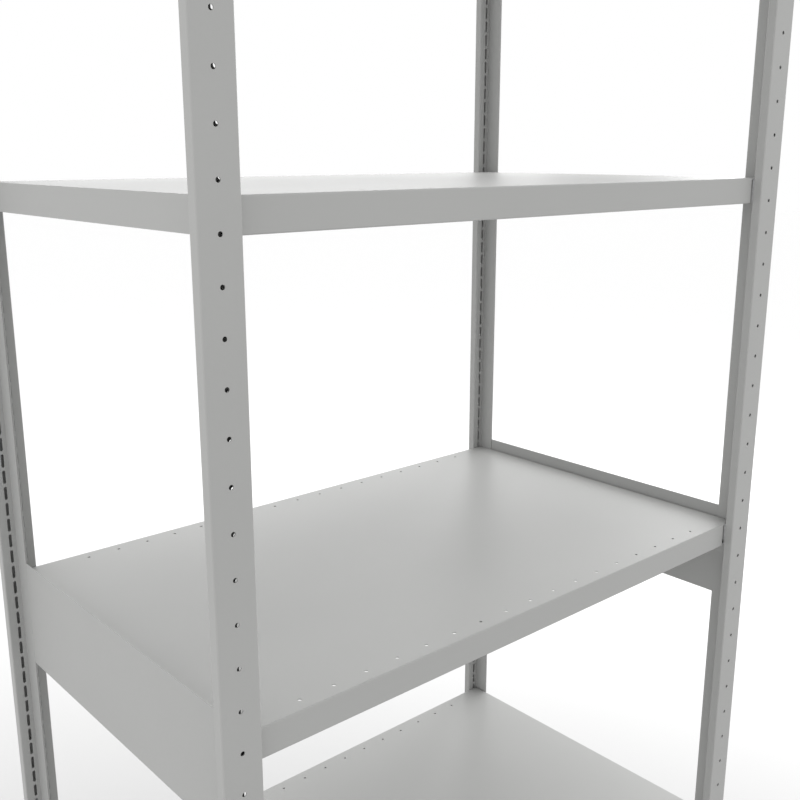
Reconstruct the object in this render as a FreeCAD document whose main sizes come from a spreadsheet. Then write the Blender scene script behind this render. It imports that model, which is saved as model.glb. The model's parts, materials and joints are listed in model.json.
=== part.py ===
import FreeCAD, Part
import os

# Open four-post steel shelving bay: T-section posts slotted along their inner flanges, folded tray
# shelves on hooked clips, deep side panels, foot brackets and screw-in levelling feet.
# Frame: X along the shelves, Y from front to back, Z up; origin under the middle, on the floor.
# A corner piece is drawn once at a "post corner": its x runs from the post's centre towards the
# middle of the bay, its y from the post's outer face inwards. It is then placed at the four corners.

doc = FreeCAD.newDocument("shelving_bay")
sheet = doc.addObject("Spreadsheet::Sheet", "sizes")

SIZES = {
    # overall
    "bay_width": 1000.0,          # post centre to post centre
    "shelf_depth": 600.0,
    "post_top": 2430.0,           # top end of the posts above the floor
    "first_level": 100.0,         # surface of the lowest shelf above the floor
    "level_count": 5,
    "post_above": 30.0,           # least height of the posts above the highest shelf
    # posts
    "post_width": 50.0,
    "box_depth": 14.5,            # hollow front part of the T section
    "post_depth": 43.5,           # outer face to the end of the stem
    "post_sheet": 1.5,
    "post_bend": 2.0,             # outside radius of the box's corners
    "slot_pitch": 25.0,
    "slot_length": 20.0,
    "slot_width": 4.5,
    "slot_offset": 10.0,          # slot row from the post's centre
    "face_pitch": 50.0,           # round holes in the outer face
    "face_hole_radius": 2.75,
    "face_hole_drop": 10.0,       # a round hole lies this far below each shelf surface
    "hole_end_margin": 18.0,      # no slot or hole centre is nearer to a post's end
    # shelves
    "shelf_sheet": 1.2,
    "shelf_lip": 39.0,
    "shelf_return": 14.0,         # inward fold at the foot of each long lip
    "shelf_bend": 2.0,
    "shelf_flange_gap": 0.25,     # between the shelf's long edges and the posts' flanges
    "side_lip_gap": 1.0,          # between a side lip and a long lip
    "row_pitch": 50.0,            # holes along the shelf's long edges
    "row_count": 17,
    "row_inset": 20.0,
    "row_hole_radius": 2.25,
    "notch_depth": 4.0,
    "rest_gap": 0.1,              # between a shelf and the clips it stands on
    "shelf_end_play": 2.0,        # between a shelf's end and the stem
    "notch_play": 5.5,            # between a long lip's end and the post's side
    # stiffening channel under each shelf
    "channel_width": 60.0,
    "channel_flange": 15.0,
    "channel_height": 24.0,
    "channel_sheet": 1.2,
    "channel_end_gap": 12.0,
    # shelf clips
    "clip_sheet": 2.0,
    "clip_width": 18.0,
    "clip_ledge": 28.0,
    "clip_side_gap": 0.8,         # between a clip and the shelf's side lip
    "clip_tail": 11.0,            # height of a clip beyond one slot pitch
    "hook_side_play": 0.5,        # on each side of a hook in its slot
    "hook_drop": 6.0,
    "hook_play": 0.2,             # between a hook's tooth and the flange it grips
    # deep side panels
    "panel_sheet": 1.5,
    "panel_rim": 20.5,            # above the shelf surface
    "panel_below": 141.0,
    "panel_end_gap": 0.5,         # between a panel's end and the stem's edge
    "ear_gap": 2.0,               # below the shelf's lip or its clip, whichever is lower
    # feet
    "plate_thickness": 4.0,
    "plate_bottom": 18.0,
    "plate_inner": 40.0,
    "plate_depth": 57.0,
    "tongue_sheet": 3.0,
    "tongue_gap": 0.5,            # between the tongue and the post's inner flange
    "tongue_height": 34.0,
    "bolt_radius": 3.0,
    "bolt_play": 0.2,
    "thread_play": 0.05,
    "bolt_head": 4.0,
    "bolt_across": 10.0,
    "bolt_inset": 24.0,
    "bolt_lift": 4.0,             # lower bolt above the weld nut's top
    "bolt_spacing": 13.0,
    "foot_y": 34.0,
    "weld_nut_gap": 3.0,          # between the weld nut and the tongue
    "stud_radius": 5.0,
    "stud_play": 0.08,
    "stud_above": 17.0,           # stud's end above the weld nut
    "weld_nut_across": 17.0,
    "weld_nut_height": 8.0,
    "pad_radius": 20.0,
    "pad_height": 8.0,
    "pad_edge": 3.0,
    "collar_across": 16.0,
    "collar_height": 5.0,
    "anchor_x": 14.0,
    "anchor_radius": 4.5,
    # caps
    "cap_overhang": 1.0,
    "cap_thickness": 3.0,
    "cap_plug": 12.0,
    "cap_play": 0.25,
}

# Sizes that follow from the ones above, so that what fits together stays together
TIED = {
    # the shelves are spread evenly over the posts, in whole slots
    "level_slots": "floor((post_top - post_above - first_level) / (level_count - 1) / slot_pitch)",
    "shelf_end_gap": "post_sheet + shelf_end_play",                    # post centre to the shelf's end
    "notch_length": "post_width / 2 + notch_play",                     # post centre to a long lip's end
    "hook_width": "slot_width - 2 * hook_side_play",
    # a square hook stands this far above the lowest point of a slot's round end
    "hook_seat": "(slot_width - sqrt(slot_width ^ 2 - hook_width ^ 2)) / 2",
    # the upper hook's top is level with its clip's, just under the shelf's sheet
    "hook_height": "slot_length / 2 - hook_seat - shelf_sheet - rest_gap",
    "clip_start": "shelf_end_gap + shelf_sheet + clip_side_gap",
    "clip_height": "slot_pitch + clip_tail",
    # depths below the shelf surface; the ear hooks into the first slot that is wholly below its top
    "ear_top": "max(shelf_lip; shelf_sheet + rest_gap + clip_height) + ear_gap",
    "ear_step": "ceil((ear_top - slot_length / 2 + hook_seat + hook_height) / slot_pitch)",
    "ear_foot": "ear_step * slot_pitch + slot_length / 2 - hook_seat",
    "tongue_start": "box_depth + tongue_gap",
    "bolt_hole_radius": "bolt_radius + bolt_play",
    "bolt_low": "weld_nut_height + bolt_lift",
    "foot_x": "post_sheet + tongue_sheet + weld_nut_gap + weld_nut_across / 2",
    "stud_top": "plate_bottom + plate_thickness + weld_nut_height + stud_above",
}

NAMED = {**SIZES, **TIED}
for row, (alias, value) in enumerate(NAMED.items(), start=1):
    sheet.set("A%d" % row, alias)
    sheet.set("B%d" % row, "=" + value if alias in TIED else repr(value))
    sheet.setAlias("B%d" % row, alias)
doc.recompute()

DEEP_LEVELS = (3, 5)              # shelves with deep side panels


def size(alias):
    return float(sheet.get(alias))


def bound(expression):
    """Writes the sheet's name before every alias in an expression."""
    words = []
    word = ""
    for letter in expression + " ":
        if letter.isalnum() or letter == "_":
            word += letter
            continue
        if word:
            words.append("sizes." + word if word in NAMED else word)
            word = ""
        words.append(letter)
    return "".join(words).strip()


def place(thing, x="0", y="0", z="0", turn=None):
    if turn is not None:
        thing.Placement = FreeCAD.Placement(FreeCAD.Vector(0, 0, 0), FreeCAD.Rotation(*turn))
    thing.setExpression("Placement.Base.x", bound(x))
    thing.setExpression("Placement.Base.y", bound(y))
    thing.setExpression("Placement.Base.z", bound(z))
    return thing


def box(name, lengths, corner):
    thing = doc.addObject("Part::Box", name)
    for side, expression in zip(("Length", "Width", "Height"), lengths):
        thing.setExpression(side, bound(expression))
    return place(thing, *corner)


def round_bar(name, radius, height, foot, turn=None):
    thing = doc.addObject("Part::Cylinder", name)
    thing.setExpression("Radius", bound(radius))
    thing.setExpression("Height", bound(height))
    return place(thing, *foot, turn=turn)


def hex_bar(name, across, height, foot, turn=None):
    thing = doc.addObject("Part::Prism", name)
    thing.Polygon = 6
    thing.setExpression("Circumradius", bound("(" + across + ") / sqrt(3)"))
    thing.setExpression("Height", bound(height))
    return place(thing, *foot, turn=turn)


def joined(name, pieces):
    thing = doc.addObject("Part::MultiFuse", name)
    thing.Shapes = pieces
    thing.Refine = True
    return thing


def cut(name, base, tool):
    thing = doc.addObject("Part::Cut", name)
    thing.Base = base
    thing.Tool = tool
    thing.Refine = True
    return thing


def upright_edges(base):
    return [number for number, edge in enumerate(base.Shape.Edges, start=1)
            if abs(edge.tangentAt(edge.FirstParameter).z) > 0.99]


def round_uprights(name, base, radius):
    doc.recompute()
    thing = doc.addObject("Part::Fillet", name)
    thing.Base = base
    thing.Edges = [(number, radius, radius) for number in upright_edges(base)]
    return thing


def gathered(name, shapes):
    thing = doc.addObject("Part::Feature", name)
    thing.Shape = Part.makeCompound(shapes)
    return thing


def grouped(name, pieces):
    thing = doc.addObject("Part::Compound", name)
    thing.Links = pieces
    return thing


def mirrored(name, source):
    """The same piece for the other end of the bay, turned over in X."""
    thing = doc.addObject("Part::Mirroring", name)
    thing.Source = source
    thing.Base = FreeCAD.Vector(0, 0, 0)
    thing.Normal = FreeCAD.Vector(1, 0, 0)
    return thing


SIDE_X = {"left": "-bay_width / 2", "right": "bay_width / 2"}
OVERALL_DEPTH = "(shelf_depth + 2 * shelf_flange_gap + 2 * box_depth)"
END_Y = {"front": "-" + OVERALL_DEPTH + " / 2", "back": OVERALL_DEPTH + " / 2"}
CORNERS = [(end, side) for end in END_Y for side in SIDE_X]
LEVEL_GAP = "(level_slots * slot_pitch)"
PLATE_TOP = "(plate_bottom + plate_thickness)"


def level_height(level):
    return "(first_level + %d * %s)" % (level - 1, LEVEL_GAP)


def at_corner(name, plain, turned_over, end, side, height):
    """Places a corner piece. The back right corner is the front left one turned half round."""
    half_turn = end == "back"
    flipped = (side == "right") != half_turn
    thing = doc.addObject("Part::Compound", name)
    thing.Links = [turned_over if flipped else plain]
    turn = (FreeCAD.Vector(0, 0, 1), 180.0 if half_turn else 0.0)
    return place(thing, SIDE_X[side], END_Y[end], height, turn)


nodes = []


def node(thing, label):
    thing.Label = label
    nodes.append(thing)
    return thing


# Posts: a flat box with a double-sheet stem behind it

def hole_heights(first, pitch):
    """Heights above the post's foot that keep the end margin and line up with the shelves."""
    foot = size("plate_bottom") + size("plate_thickness")
    length = size("post_top") - foot
    start = (first - foot) % pitch
    while start < size("hole_end_margin"):
        start += pitch
    count = int((length - size("hole_end_margin") - start) / pitch) + 1
    return [start + pitch * step for step in range(count)]


def slot_cutter(x, z):
    half = (size("slot_length") - size("slot_width")) / 2
    radius = size("slot_width") / 2
    depth = size("post_sheet") + 1.0
    y = size("box_depth") - size("post_sheet") - 0.5
    along = FreeCAD.Vector(0, 1, 0)
    middle = Part.makeBox(2 * radius, depth, 2 * half, FreeCAD.Vector(x - radius, y, z - half))
    ends = [Part.makeCylinder(radius, depth, FreeCAD.Vector(x, y, z + step), along) for step in (-half, half)]
    return middle.fuse(ends).removeSplitter()


post_length = "(post_top - " + PLATE_TOP + ")"
post_box = round_uprights("post_box_bent", box(
    "post_box", ("post_width", "box_depth", post_length), ("-post_width / 2", "0", "0")), size("post_bend"))
post_hollow = round_uprights("post_hollow_bent", box(
    "post_hollow", ("post_width - 2 * post_sheet", "box_depth - 2 * post_sheet", post_length + " + 2"),
    ("-post_width / 2 + post_sheet", "post_sheet", "-1")), size("post_bend") - size("post_sheet"))
post_stem = box("post_stem", ("2 * post_sheet", "post_depth - box_depth + post_sheet", post_length),
                ("-post_sheet", "box_depth - post_sheet", "0"))
post_tube = cut("post_tube", joined("post_outline", [post_box, post_stem]), post_hollow)
face_holes = [
    Part.makeCylinder(size("face_hole_radius"), size("post_sheet") + 1.0,
                      FreeCAD.Vector(0, -0.5, z), FreeCAD.Vector(0, 1, 0))
    for z in hole_heights(size("first_level") - size("face_hole_drop"), size("face_pitch"))]
slots = [slot_cutter(x, z) for x in (-size("slot_offset"), size("slot_offset"))
         for z in hole_heights(size("first_level"), size("slot_pitch"))]
stem_holes = [
    Part.makeCylinder(size("bolt_hole_radius"), 2 * size("post_sheet") + 2.0,
                      FreeCAD.Vector(-size("post_sheet") - 1.0, size("bolt_inset"), z),
                      FreeCAD.Vector(1, 0, 0))
    for z in (size("bolt_low"), size("bolt_low") + size("bolt_spacing"))]
post = cut("post", post_tube, gathered("post_openings", face_holes + slots + stem_holes))
for end, side in CORNERS:
    node(at_corner("post_at", post, post, end, side, PLATE_TOP), "post_%s_%s" % (end, side))

# Plastic caps on the posts, flush with the inner flange so that the top shelf lifts past them
cap_top = box("cap_top", ("post_width + 2 * cap_overhang", "box_depth + cap_overhang", "cap_thickness"),
              ("-post_width / 2 - cap_overhang", "-cap_overhang", "0"))
cap_top_bent = round_uprights("cap_top_bent", cap_top, size("post_bend") + size("cap_overhang"))
cap_tail = box("cap_tail", ("2 * post_sheet + 2 * cap_overhang", "post_depth - box_depth + cap_overhang",
                            "cap_thickness"), ("-post_sheet - cap_overhang", "box_depth", "0"))
cap_plug = box("cap_plug_block", ("post_width - 2 * post_sheet - 2 * cap_play",
                                  "box_depth - 2 * post_sheet - 2 * cap_play", "cap_plug + 1"),
               ("-post_width / 2 + post_sheet + cap_play", "post_sheet + cap_play", "-cap_plug"))
cap = joined("cap", [cap_top_bent, cap_tail, round_uprights("cap_plug_bent", cap_plug, size("post_bend")
                                                            - size("post_sheet"))])
for end, side in CORNERS:
    node(at_corner("cap_at", cap, cap, end, side, "post_top"), "post_cap_%s_%s" % (end, side))

# Foot brackets: a base plate with a weld nut and a tongue bolted to the stem
plate = box("bracket_plate", ("post_width / 2 + plate_inner", "plate_depth", "plate_thickness"),
            ("-post_width / 2", "0", "0"))
tongue = box("bracket_tongue", ("tongue_sheet", "post_depth - tongue_start", "tongue_height + 1"),
             ("post_sheet", "tongue_start", "plate_thickness - 1"))
weld_nut = hex_bar("weld_nut", "weld_nut_across", "weld_nut_height + 1", ("foot_x", "foot_y", "plate_thickness - 1"))
stud_hole = round_bar("stud_hole", "stud_radius + stud_play", "plate_thickness + weld_nut_height + 2",
                      ("foot_x", "foot_y", "-1"))
anchor_hole = round_bar("anchor_hole", "anchor_radius", "plate_thickness + 2", ("-anchor_x", "foot_y", "-1"))
ALONG_X = (FreeCAD.Vector(0, 1, 0), 90.0)
BOLT_STEPS = ("bolt_low", "bolt_low + bolt_spacing")
tongue_holes = [round_bar("tongue_hole", "bolt_hole_radius", "tongue_sheet + 2",
                          ("post_sheet - 1", "bolt_inset", "plate_thickness + " + step), ALONG_X)
                for step in BOLT_STEPS]
bracket = cut("bracket", joined("bracket_blank", [plate, tongue, weld_nut]),
              joined("bracket_holes", [stud_hole, anchor_hole] + tongue_holes))
bracket_over = mirrored("bracket_over", bracket)
for end, side in CORNERS:
    node(at_corner("bracket_at", bracket, bracket_over, end, side, "plate_bottom"),
         "foot_bracket_%s_%s" % (end, side))

# Bolts and nuts that hold the brackets to the stems
bolt_pieces = []
nut_pieces = []
for step in BOLT_STEPS:
    head = hex_bar("bolt_head_hex", "bolt_across", "bolt_head",
                   ("post_sheet + tongue_sheet", "bolt_inset", step), ALONG_X)
    shank = round_bar("bolt_shank", "bolt_radius", "2 * post_sheet + tongue_sheet + bolt_head + 2",
                      ("-post_sheet - bolt_head - 1", "bolt_inset", step), ALONG_X)
    bolt_pieces.append(joined("bolt", [head, shank]))
    nut_hex = hex_bar("nut_hex", "bolt_across", "bolt_head", ("-post_sheet - bolt_head", "bolt_inset", step), ALONG_X)
    nut_bore = round_bar("nut_bore", "bolt_radius + thread_play", "bolt_head + 2",
                         ("-post_sheet - bolt_head - 1", "bolt_inset", step), ALONG_X)
    nut_pieces.append(cut("nut", nut_hex, nut_bore))
for pieces, label in ((bolt_pieces, "foot_bolts"), (nut_pieces, "foot_nuts")):
    pair = grouped(label + "_pair", pieces)
    pair_over = mirrored(label + "_pair_over", pair)
    node(grouped(label, [at_corner(label + "_at", pair, pair_over, end, side, PLATE_TOP)
                         for end, side in CORNERS]), label)

# Levelling feet
pad = doc.addObject("Part::Cone", "pad")
pad.setExpression("Radius1", bound("pad_radius"))
pad.setExpression("Radius2", bound("collar_across / 2 + 1"))
pad.setExpression("Height", bound("pad_height - pad_edge"))
place(pad, "foot_x", "foot_y", "pad_edge")
pad_rim = round_bar("pad_rim", "pad_radius", "pad_edge", ("foot_x", "foot_y", "0"))
collar = hex_bar("collar", "collar_across", "collar_height + 1", ("foot_x", "foot_y", "pad_height - 1"))
stud = round_bar("stud", "stud_radius", "stud_top - pad_height + 1", ("foot_x", "foot_y", "pad_height - 1"))
foot = joined("foot", [pad, pad_rim, collar, stud])
foot_over = mirrored("foot_over", foot)
for end, side in CORNERS:
    node(at_corner("foot_at", foot, foot_over, end, side, "0"), "levelling_foot_%s_%s" % (end, side))

# Shelves: a tray folded from one sheet, drawn about its own middle with its surface at height 0
SHELF_LENGTH = "(bay_width - 2 * shelf_end_gap)"
HALF_DEPTH = "shelf_depth / 2"


def is_long_edge(edge):
    return abs(edge.tangentAt(edge.FirstParameter).x) > 0.99


def round_long_edges(name, base, radius):
    doc.recompute()
    thing = doc.addObject("Part::Fillet", name)
    thing.Base = base
    thing.Edges = [(number, radius, radius)
                   for number, edge in enumerate(base.Shape.Edges, start=1) if is_long_edge(edge)]
    return thing


tray_block = round_long_edges("tray_block_bent", box(
    "tray_block", (SHELF_LENGTH, "shelf_depth", "shelf_lip"),
    ("-" + SHELF_LENGTH + " / 2", "-" + HALF_DEPTH, "-shelf_lip")), size("shelf_bend"))
tray_hollow = round_long_edges("tray_hollow_bent", box(
    "tray_hollow", (SHELF_LENGTH + " + 2", "shelf_depth - 2 * shelf_sheet", "shelf_lip - 2 * shelf_sheet"),
    ("-" + SHELF_LENGTH + " / 2 - 1", "-" + HALF_DEPTH + " + shelf_sheet", "-shelf_lip + shelf_sheet")),
    size("shelf_bend") - size("shelf_sheet"))
tray_mouth = box("tray_mouth", (SHELF_LENGTH + " + 2", "shelf_depth - 2 * shelf_return", "2 * shelf_sheet + 1"),
                 ("-" + SHELF_LENGTH + " / 2 - 1", "-" + HALF_DEPTH + " + shelf_return",
                  "-shelf_lip - shelf_sheet"))
notches = [box("tray_notch", ("notch_length - shelf_end_gap + 1", "notch_depth + 1", "shelf_lip - shelf_sheet + 1"),
               (x, y, "-shelf_lip - 1"))
           for x in ("-bay_width / 2 + shelf_end_gap - 1", "bay_width / 2 - notch_length")
           for y in ("-" + HALF_DEPTH + " - 1", HALF_DEPTH + " - notch_depth")]
returns = [box("return_notch", ("notch_length - shelf_end_gap + 1", "shelf_return + 2", "2 * shelf_sheet + 2"),
               (x, y, "-shelf_lip - 1"))
           for x in ("-bay_width / 2 + shelf_end_gap - 1", "bay_width / 2 - notch_length")
           for y in ("-" + HALF_DEPTH + " - 1", HALF_DEPTH + " - shelf_return - 1")]
row_holes = gathered("row_holes", [
    Part.makeCylinder(size("row_hole_radius"), size("shelf_sheet") + 2.0,
                      FreeCAD.Vector((step - (size("row_count") - 1) / 2) * size("row_pitch"), y,
                                     -size("shelf_sheet") - 1.0))
    for step in range(int(size("row_count")))
    for y in (size("row_inset") - size("shelf_depth") / 2, size("shelf_depth") / 2 - size("row_inset"))])
tray = cut("tray", cut("tray_cut", tray_block, joined("tray_tools", [tray_hollow, tray_mouth])),
           joined("tray_notches", notches + returns))
side_lips = [box("side_lip", ("shelf_sheet", "shelf_depth - 2 * notch_depth - 2 * side_lip_gap",
                              "shelf_lip - 0.5 * shelf_sheet"),
                 (x, "-" + HALF_DEPTH + " + notch_depth + side_lip_gap", "-shelf_lip"))
             for x in ("-" + SHELF_LENGTH + " / 2", SHELF_LENGTH + " / 2 - shelf_sheet")]
shelf = cut("shelf", joined("shelf_folded", [tray] + side_lips), row_holes)

channel_length = "(" + SHELF_LENGTH + " - 2 * channel_end_gap)"
channel_left = "-" + channel_length + " / 2"
channel_crown = box("channel_crown", (channel_length, "channel_width", "channel_height"),
                    (channel_left, "-channel_width / 2", "-shelf_sheet - channel_height"))
channel_hollow = box("channel_hollow", (channel_length + " + 2", "channel_width - 2 * channel_sheet",
                                        "channel_height"),
                     (channel_left + " - 1", "-channel_width / 2 + channel_sheet",
                      "-shelf_sheet - channel_height + channel_sheet"))
channel_brims = [box("channel_brim", (channel_length, "channel_flange", "channel_sheet"),
                     (channel_left, y, "-shelf_sheet - channel_sheet"))
                 for y in ("-channel_width / 2 - channel_flange + channel_sheet",
                           "channel_width / 2 - channel_sheet")]
channel = joined("channel", [cut("channel_bent", channel_crown, channel_hollow)] + channel_brims)

# Shelf clips: a plate on the flange with two hooks through its slots and a ledge under the shelf


TOOTH_FACE = "box_depth - post_sheet - hook_play - clip_sheet"


def hook(name, slot_height):
    """A tab through one slot, on the slot's lower end, with a tooth down behind the flange."""
    low = "%s - slot_length / 2 + hook_seat" % slot_height
    across = "slot_offset - hook_width / 2"
    tab = box(name + "_tab", ("hook_width", "post_sheet + hook_play + clip_sheet + 0.5", "hook_height"),
              (across, TOOTH_FACE, low))
    tooth = box(name + "_tooth", ("hook_width", "clip_sheet", "hook_height + hook_drop"),
                (across, TOOTH_FACE, low + " - hook_drop"))
    return [tab, tooth]


clip_plate = box("clip_plate", ("clip_width", "clip_sheet", "clip_height"),
                 ("clip_start", "box_depth", "-shelf_sheet - rest_gap - clip_height"))
clip_ledge = box("clip_ledge_plate", ("clip_width", "clip_ledge", "clip_sheet"),
                 ("clip_start", "box_depth", "-shelf_sheet - rest_gap - clip_sheet"))
clip_hooks = hook("clip_hook_high", "0") + hook("clip_hook_low", "-slot_pitch")
clip = joined("clip", [clip_plate, clip_ledge] + clip_hooks)
clip_over = mirrored("clip_over", clip)

# Deep side panels, drawn for the left end: the web stands in line with the stems' outer sheets, and
# an ear folded inwards at each end reaches past the stem to a hook in the flange's row of slots
PANEL_START = "(post_depth + panel_end_gap)"
panel_web = box("panel_web", ("panel_sheet", OVERALL_DEPTH + " - 2 * " + PANEL_START, "panel_rim + panel_below"),
                ("-panel_sheet", PANEL_START, "-panel_below"))
panel_ear = box("panel_ear", ("panel_sheet + slot_offset + hook_width / 2", "panel_sheet", "ear_foot - ear_top"),
                ("-panel_sheet", PANEL_START, "-ear_foot"))
panel_arm = box("panel_arm", ("hook_width", PANEL_START + " + panel_sheet - box_depth", "ear_foot - ear_top"),
                ("slot_offset - hook_width / 2", "box_depth", "-ear_foot"))
panel_front = joined("panel_front", [panel_ear, panel_arm] + hook("panel_hook", "-ear_step * slot_pitch"))
panel_back = doc.addObject("Part::Mirroring", "panel_back")
panel_back.Source = panel_front
panel_back.Normal = FreeCAD.Vector(0, 1, 0)
panel_back.setExpression("Base.y", bound(OVERALL_DEPTH + " / 2"))
panel = joined("panel", [panel_web, panel_front, panel_back])
panel_over = mirrored("panel_over", panel)

for level in range(1, int(size("level_count")) + 1):
    height = level_height(level)
    node(place(grouped("shelf_at", [shelf]), "0", "0", height), "shelf_%d" % level)
    node(place(grouped("channel_at", [channel]), "0", "0", height), "shelf_%d_channel" % level)
    clips = [at_corner("clip_at", clip, clip_over, end, side, height) for end, side in CORNERS]
    node(grouped("clips", clips), "shelf_%d_clips" % level)
    if level in DEEP_LEVELS:
        for side, source in (("left", panel), ("right", panel_over)):
            node(place(grouped("panel_at", [source]), SIDE_X[side], END_Y["front"], height),
                 "side_panel_%d_%s" % (level, side))

doc.recompute()
for thing in doc.Objects:
    if "Invalid" in thing.State or "Error" in thing.State:
        raise RuntimeError("%s did not build: %s" % (thing.Label, thing.State))
os.makedirs("parts", exist_ok=True)
for thing in nodes:
    if thing.Shape.isNull() or not thing.Shape.isValid():
        raise RuntimeError("%s has no valid shape" % thing.Label)
    thing.Shape.exportStep("parts/%s.step" % thing.Label)
    print(thing.Label, len(thing.Shape.Solids), "solids", round(thing.Shape.Volume, 1))
print(len(nodes), "nodes")
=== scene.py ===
import json
import math

import bmesh
import bpy
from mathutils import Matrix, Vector


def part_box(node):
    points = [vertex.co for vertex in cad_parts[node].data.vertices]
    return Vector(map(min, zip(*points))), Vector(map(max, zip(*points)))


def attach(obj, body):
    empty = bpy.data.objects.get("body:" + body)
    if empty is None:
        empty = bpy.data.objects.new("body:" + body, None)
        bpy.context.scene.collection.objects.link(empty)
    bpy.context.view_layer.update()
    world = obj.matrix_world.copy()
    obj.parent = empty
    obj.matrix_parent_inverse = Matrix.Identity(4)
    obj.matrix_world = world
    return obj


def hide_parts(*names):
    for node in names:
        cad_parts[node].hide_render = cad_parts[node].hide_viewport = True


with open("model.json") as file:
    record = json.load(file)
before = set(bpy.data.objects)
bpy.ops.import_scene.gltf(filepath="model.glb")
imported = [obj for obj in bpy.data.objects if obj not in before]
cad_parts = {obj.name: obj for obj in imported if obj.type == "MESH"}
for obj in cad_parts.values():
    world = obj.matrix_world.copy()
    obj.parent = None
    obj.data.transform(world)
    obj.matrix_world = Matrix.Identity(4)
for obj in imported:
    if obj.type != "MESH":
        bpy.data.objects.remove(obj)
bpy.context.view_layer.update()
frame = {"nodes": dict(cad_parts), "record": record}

nodes = frame["nodes"]
bodies = frame["record"]["behaviour"]["bodies"]
bodyOf = {node: body for body, members in bodies.items() for node in members}
slotOf = {part["node"]: part["material_slot"] for part in frame["record"]["subparts"]}
print("frame loaded:", len(nodes), "pieces")


def newMaterial(name):
    material = bpy.data.materials.new(name)
    material.use_nodes = True
    tree = material.node_tree
    return material, tree, tree.nodes["Principled BSDF"]


def noiseOf(tree, scale, detail, stretch=(1, 1, 1)):
    coords = tree.nodes.new("ShaderNodeTexCoord")
    mapping = tree.nodes.new("ShaderNodeMapping")
    mapping.inputs["Scale"].default_value = stretch
    noise = tree.nodes.new("ShaderNodeTexNoise")
    noise.inputs["Scale"].default_value = scale
    noise.inputs["Detail"].default_value = detail
    tree.links.new(coords.outputs["Object"], mapping.inputs["Vector"])
    tree.links.new(mapping.outputs["Vector"], noise.inputs["Vector"])
    return noise.outputs["Fac"]


def ramp(tree, source, low, high, lowColour, highColour):
    node = tree.nodes.new("ShaderNodeValToRGB")
    node.color_ramp.elements[0].position = low
    node.color_ramp.elements[1].position = high
    node.color_ramp.elements[0].color = (*lowColour, 1)
    node.color_ramp.elements[1].color = (*highColour, 1)
    tree.links.new(source, node.inputs["Fac"])
    return node.outputs["Color"]


def spread(tree, source, low, high):
    node = tree.nodes.new("ShaderNodeMapRange")
    node.inputs["To Min"].default_value = low
    node.inputs["To Max"].default_value = high
    tree.links.new(source, node.inputs["Value"])
    return node.outputs["Result"]


def bumpFrom(tree, source, strength, distance, under=None):
    node = tree.nodes.new("ShaderNodeBump")
    node.inputs["Strength"].default_value = strength
    node.inputs["Distance"].default_value = distance
    tree.links.new(source, node.inputs["Height"])
    if under is not None:
        tree.links.new(under, node.inputs["Normal"])
    return node.outputs["Normal"]


def shaded(tree, source, low, high, look):
    darker = [channel * look["darker"] for channel in look["colour"]]
    lighter = [min(1, channel * look["lighter"]) for channel in look["colour"]]
    return ramp(tree, source, low, high, darker, lighter)


def wavered(tree, source, look):
    return spread(tree, source, look["roughness"] - look["smoother"], look["roughness"] + look["rougher"])


powderCoat = {"colour": (0.375, 0.377, 0.37), "drift": 3.0, "darker": 0.98, "lighter": 1.02,
              "roughness": 0.42, "smoother": 0.04, "rougher": 0.06, "specular": 0.26,
              "peel": 240, "peelHeight": 0.0006, "speck": 1700, "speckHeight": 0.0002, "relief": 0.08}


def makePowderCoat(name, look):
    material, tree, shader = newMaterial(name)
    drift = noiseOf(tree, look["drift"], 3.0)
    tree.links.new(shaded(tree, drift, 0.3, 0.7, look), shader.inputs["Base Color"])
    peel = noiseOf(tree, look["peel"], 2.0)
    speck = noiseOf(tree, look["speck"], 2.0)
    tree.links.new(wavered(tree, peel, look), shader.inputs["Roughness"])
    fine = bumpFrom(tree, speck, look["relief"], look["speckHeight"])
    tree.links.new(bumpFrom(tree, peel, look["relief"], look["peelHeight"], fine), shader.inputs["Normal"])
    shader.inputs["Specular IOR Level"].default_value = look["specular"]
    return material


zinc = {"colour": (0.44, 0.445, 0.45), "darker": 0.86, "lighter": 1.1, "spangle": 240,
        "roughness": 0.4, "smoother": 0.08, "rougher": 0.12,
        "grain": 900, "drawn": (1, 1, 0.08), "relief": 0.15, "grainHeight": 0.0002}
footZinc = {**zinc, "colour": (0.42, 0.42, 0.43)}


def makeZinc(name, look):
    material, tree, shader = newMaterial(name)
    spangle = tree.nodes.new("ShaderNodeTexVoronoi")
    coords = tree.nodes.new("ShaderNodeTexCoord")
    spangle.inputs["Scale"].default_value = look["spangle"]
    tree.links.new(coords.outputs["Object"], spangle.inputs["Vector"])
    tree.links.new(shaded(tree, spangle.outputs["Distance"], 0.1, 0.8, look), shader.inputs["Base Color"])
    grain = noiseOf(tree, look["grain"], 3.0, look["drawn"])
    tree.links.new(wavered(tree, grain, look), shader.inputs["Roughness"])
    tree.links.new(bumpFrom(tree, grain, look["relief"], look["grainHeight"]), shader.inputs["Normal"])
    shader.inputs["Metallic"].default_value = 1.0
    return material


capPlastic = {"colour": (0.33, 0.333, 0.33), "drift": 14, "darker": 0.95, "lighter": 1.04,
              "roughness": 0.5, "smoother": 0.08, "rougher": 0.1,
              "grain": 1400, "relief": 0.3, "grainHeight": 0.0003}
seamShadow = {**capPlastic, "colour": (0.09, 0.09, 0.09), "roughness": 0.7}


def makePlastic(name, look):
    material, tree, shader = newMaterial(name)
    grain = noiseOf(tree, look["grain"], 4.0)
    drift = noiseOf(tree, look["drift"], 2.0)
    tree.links.new(shaded(tree, drift, 0.3, 0.7, look), shader.inputs["Base Color"])
    tree.links.new(wavered(tree, grain, look), shader.inputs["Roughness"])
    tree.links.new(bumpFrom(tree, grain, look["relief"], look["grainHeight"]), shader.inputs["Normal"])
    return material


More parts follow.
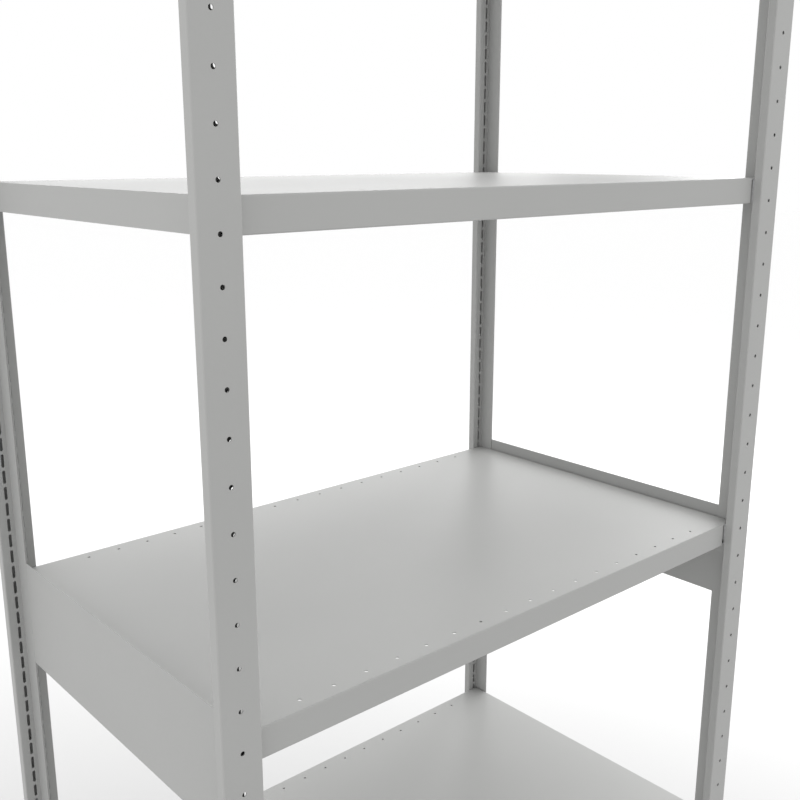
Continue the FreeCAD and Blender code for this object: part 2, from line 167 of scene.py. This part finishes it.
materials = {
    "painted_steel": makePowderCoat("lightGreyPowderCoat", powderCoat),
    "clip_steel": makeZinc("zincPlatedClip", zinc),
    "plated_steel": makeZinc("zincPlatedBolt", zinc),
    "foot_steel": makeZinc("zincPlatedFoot", footZinc),
    "cap_plastic": makePlastic("greyCapPlastic", capPlastic),
}
# painted shadow: a near-black material for the strip along each post's seam
seamShadowMaterial = makePlastic("seamShadow", seamShadow)
print("materials set")


smoothing = {"crease": 55}         # degrees between faces that stay a hard edge


def addPiece(name, shape, material, node, stands=True):
    mesh = bpy.data.meshes.new(name)
    bmesh.ops.recalc_face_normals(shape, faces=shape.faces)
    for face in shape.faces:
        face.smooth = True
    shape.to_mesh(mesh)
    shape.free()
    mesh.set_sharp_from_angle(angle=math.radians(smoothing["crease"]))
    mesh.materials.append(material)
    thing = bpy.data.objects.new(name, mesh)
    bpy.context.scene.collection.objects.link(thing)
    weighted = thing.modifiers.new("flatFaces", "WEIGHTED_NORMAL")      # flat faces keep their normals
    weighted.keep_sharp = True
    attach(thing, bodyOf[node])
    if stands:
        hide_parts(node)
    return thing


def plainName(node):
    words = node.split("_")
    return words[0] + "".join(word.capitalize() for word in words[1:])


# each folded or pressed piece is the CAD shape with its cut edges eased
edges = {
    "painted_steel": {"ease": 0.00028, "rounds": 2},
    "clip_steel": {"ease": 0.00022, "rounds": 2},
    "plated_steel": {"ease": 0.0003, "rounds": 2},
    "cap_plastic": {"ease": 0.0006, "rounds": 3},
}
merging = {"near": 0.000001, "flat": 0.6, "sharp": 32}


def eased(node, look):
    shape = bmesh.new()
    shape.from_mesh(nodes[node].data)
    bmesh.ops.remove_doubles(shape, verts=shape.verts, dist=merging["near"])
    bmesh.ops.dissolve_limit(shape, angle_limit=math.radians(merging["flat"]), verts=shape.verts,
                             edges=shape.edges)
    bmesh.ops.recalc_face_normals(shape, faces=shape.faces)
    sharp = [edge for edge in shape.edges
             if len(edge.link_faces) == 2 and edge.calc_face_angle() > math.radians(merging["sharp"])]
    bmesh.ops.bevel(shape, geom=sharp, offset=look["ease"], offset_type="OFFSET", segments=look["rounds"],
                    profile=0.5, affect="EDGES", material=-1, clamp_overlap=False)
    bmesh.ops.triangulate(shape, faces=[face for face in shape.faces if len(face.verts) > 4])
    return addPiece(plainName(node), shape, materials[slotOf[node]], node)


for node in nodes:
    if slotOf[node] in edges:
        eased(node, edges[slotOf[node]])
print("edges eased")

# a levelling foot: a pressed pad, a hexagon collar and a threaded stud
footLook = {"edge": 0.003, "padTop": 0.008, "padFoot": 0.0016, "padRound": 0.0004, "crownSlope": 0.001,
            "padSides": 64,
            "collarTop": 0.013, "collarAcross": 0.016, "collarSides": 6, "collarSunk": 0.0005,
            "collarLift": 0.0003, "chamfer": 0.0008, "studRadius": 0.005, "studSunk": 0.001,
            "studPoint": 0.001, "studSlope": 0.0012, "pitch": 0.0015, "depth": 0.0006, "rooted": 0.0001,
            "flank": 0.42, "crest": 0.12, "bare": 0.0022, "around": 32}


def ringPoint(centre, radius, angle, height):
    return centre + Vector((radius * math.cos(angle), radius * math.sin(angle), height))


def turned(shape, centre, profile, around):
    rings = []
    for radius, height in profile:
        rings.append([shape.verts.new(ringPoint(centre, radius, step * math.tau / around, height))
                      for step in range(around)])
    for low, high in zip(rings, rings[1:]):
        for step in range(around):
            after = (step + 1) % around
            shape.faces.new((low[step], low[after], high[after], high[step]))
    shape.faces.new(reversed(rings[0]))
    shape.faces.new(rings[-1])


def addThread(shape, centre, low, high, radius, look):
    steps = int((high - low) / look["pitch"] * look["around"])
    rows = []
    for step in range(steps + 1):
        angle = step * math.tau / look["around"]
        fade = min(1, 2 * step / look["around"], 2 * (steps - step) / look["around"])   # half a turn each end
        height = low + look["pitch"] * step / look["around"]
        root = radius - look["depth"] - look["rooted"]
        crest = root + (look["depth"] + look["rooted"]) * fade
        half = look["pitch"] * look["flank"]
        tip = half * look["crest"]
        rows.append([shape.verts.new(ringPoint(centre, reach, angle, height + rise))
                     for reach, rise in ((root, -half), (crest, -tip), (crest, tip), (root, half))])
    for before, after in zip(rows, rows[1:]):
        for side in range(4):
            beside = (side + 1) % 4
            shape.faces.new((before[side], after[side], after[beside], before[beside]))
    shape.faces.new(rows[0])
    shape.faces.new(reversed(rows[-1]))


def makeFoot(node, look):
    low, high = (Vector(corner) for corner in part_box(node))
    centre = Vector(((low.x + high.x) / 2, (low.y + high.y) / 2, low.z))
    padRadius = (high.x - low.x) / 2
    shape = bmesh.new()
    chamfer = look["chamfer"]
    crown = look["collarAcross"] / 2 + look["padFoot"]
    turned(shape, centre, [(padRadius - chamfer, 0), (padRadius, chamfer),
                           (padRadius, look["edge"] - chamfer), (padRadius - chamfer, look["edge"]),
                           (crown, look["padTop"] - look["padRound"]),
                           (crown - look["crownSlope"], look["padTop"]),
                           (look["studRadius"], look["padTop"])], look["padSides"])
    hexRadius = look["collarAcross"] / math.sqrt(3)
    turned(shape, centre, [(hexRadius - chamfer, look["padTop"] - look["collarSunk"]),
                           (hexRadius, look["padTop"] + look["collarLift"]),
                           (hexRadius, look["collarTop"] - chamfer),
                           (hexRadius - chamfer * 1.5, look["collarTop"])], look["collarSides"])
    core = look["studRadius"] - look["depth"]
    top = high.z - low.z
    turned(shape, centre, [(core, look["collarTop"] - look["studSunk"]), (core, top - look["studSlope"]),
                           (core - look["studPoint"], top)], look["around"])
    threadFoot = look["collarTop"] + look["pitch"]
    addThread(shape, centre, threadFoot, top - look["bare"], look["studRadius"], look)
    addPiece(plainName(node), shape, materials[slotOf[node]], node)


for node in nodes:
    if slotOf[node] == "foot_steel":
        makeFoot(node, footLook)
print("feet made")

# the line where a post's two folded sheets meet, along the end of its stem, drawn as a thin dark strip of
# painted shadow
seam = {"width": 0.0003, "proud": 0.00003, "inset": 0.0005}


def makeSeamShadow(post, look):
    low, high = (Vector(corner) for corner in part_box(post))
    middle = (low.x + high.x) / 2
    face = high.y if "front" in post else low.y
    inward = look["proud"] if "front" in post else -look["proud"]
    shape = bmesh.new()
    bmesh.ops.create_cube(shape, size=1)
    length = high.z - low.z - 2 * look["inset"]
    bmesh.ops.scale(shape, verts=shape.verts, vec=(look["width"], 2 * look["proud"], length))
    bmesh.ops.translate(shape, verts=shape.verts, vec=(middle, face + inward * 0.5, (low.z + high.z) / 2))
    addPiece(plainName(post) + "Seam", shape, seamShadowMaterial, post, stands=False)


for node in nodes:
    if node.startswith("post_") and "cap" not in node:
        makeSeamShadow(node, seam)
print("seams made")

camera = {"place": (-1.0009, -1.1375, 1.8655), "turn": 41.415, "down": 13.971, "sensor": 36.0,
          "focal": 1001.7, "frame": 800, "nudge": 0.5, "near": 0.05, "far": 60}


def makeCamera(view):
    data = bpy.data.cameras.new("camera")
    data.sensor_width = view["sensor"]
    data.lens = view["focal"] / view["frame"] * data.sensor_width
    data.shift_x = -view["nudge"] / view["frame"]
    data.shift_y = view["nudge"] / view["frame"]
    data.clip_start = view["near"]
    data.clip_end = view["far"]
    thing = bpy.data.objects.new("camera", data)
    bpy.context.scene.collection.objects.link(thing)
    thing.location = view["place"]
    thing.rotation_euler = (math.radians(90 - view["down"]), 0, math.radians(-view["turn"]))
    bpy.context.scene.camera = thing


# the floor is paler away from the unit, by its distance from the origin; the darker floor near the unit is
# painted shade
floorLook = {"size": 60.0, "near": (0.5, 0.5, 0.5), "far": (1.0, 1.0, 1.0), "reach": 5.5,
             "start": 0.15, "roughness": 0.7, "specular": 0.1}


def makeFloor(look):
    shape = bmesh.new()
    bmesh.ops.create_grid(shape, x_segments=1, y_segments=1, size=look["size"] / 2)
    mesh = bpy.data.meshes.new("floor")
    shape.to_mesh(mesh)
    shape.free()
    thing = bpy.data.objects.new("floor", mesh)
    bpy.context.scene.collection.objects.link(thing)
    material, tree, shader = newMaterial("paleFloor")
    coords = tree.nodes.new("ShaderNodeTexCoord")
    distance = tree.nodes.new("ShaderNodeVectorMath")
    distance.operation = "LENGTH"
    tree.links.new(coords.outputs["Object"], distance.inputs[0])
    share = tree.nodes.new("ShaderNodeMath")
    share.operation = "DIVIDE"
    share.inputs[1].default_value = look["reach"]
    tree.links.new(distance.outputs["Value"], share.inputs[0])
    # painted shade: the floor colour darkens towards the unit
    colour = ramp(tree, share.outputs["Value"], look["start"], 1.0, look["near"], look["far"])
    tree.links.new(colour, shader.inputs["Base Color"])
    shader.inputs["Roughness"].default_value = look["roughness"]
    shader.inputs["Specular IOR Level"].default_value = look["specular"]
    mesh.materials.append(material)


lights = {
    "softTop": {"place": (1.5, 0.0, 5.0), "aim": (0, 0, 1.0), "power": 50},
    "softRear": {"place": (2.2, 3.4, 2.8), "aim": (0, 0, 1.0), "power": 45},
    "softRight": {"place": (4.5, 0.8, 3.0), "aim": (0, 0, 1.0), "power": 110},
    "softLeft": {"place": (-5.0, -0.5, 2.2), "aim": (0, 0, 1.2), "power": 30},
}
lightSize = 3.0


def makeLight(name, look):
    data = bpy.data.lights.new(name, "AREA")
    data.shape = "SQUARE"
    data.size = lightSize
    data.energy = look["power"]
    thing = bpy.data.objects.new(name, data)
    bpy.context.scene.collection.objects.link(thing)
    thing.location = look["place"]
    thing.rotation_euler = (Vector(look["aim"]) - Vector(look["place"])).to_track_quat("-Z", "Y").to_euler()


world = bpy.data.worlds.new("studio")
bpy.context.scene.world = world
world.use_nodes = True
world.node_tree.nodes["Background"].inputs["Color"].default_value = (1, 1, 1, 1)
world.node_tree.nodes["Background"].inputs["Strength"].default_value = 1.0
bpy.context.scene.view_settings.view_transform = "Standard"
makeCamera(camera)
makeFloor(floorLook)
for name, look in lights.items():
    makeLight(name, look)
print("camera, floor and lights set")
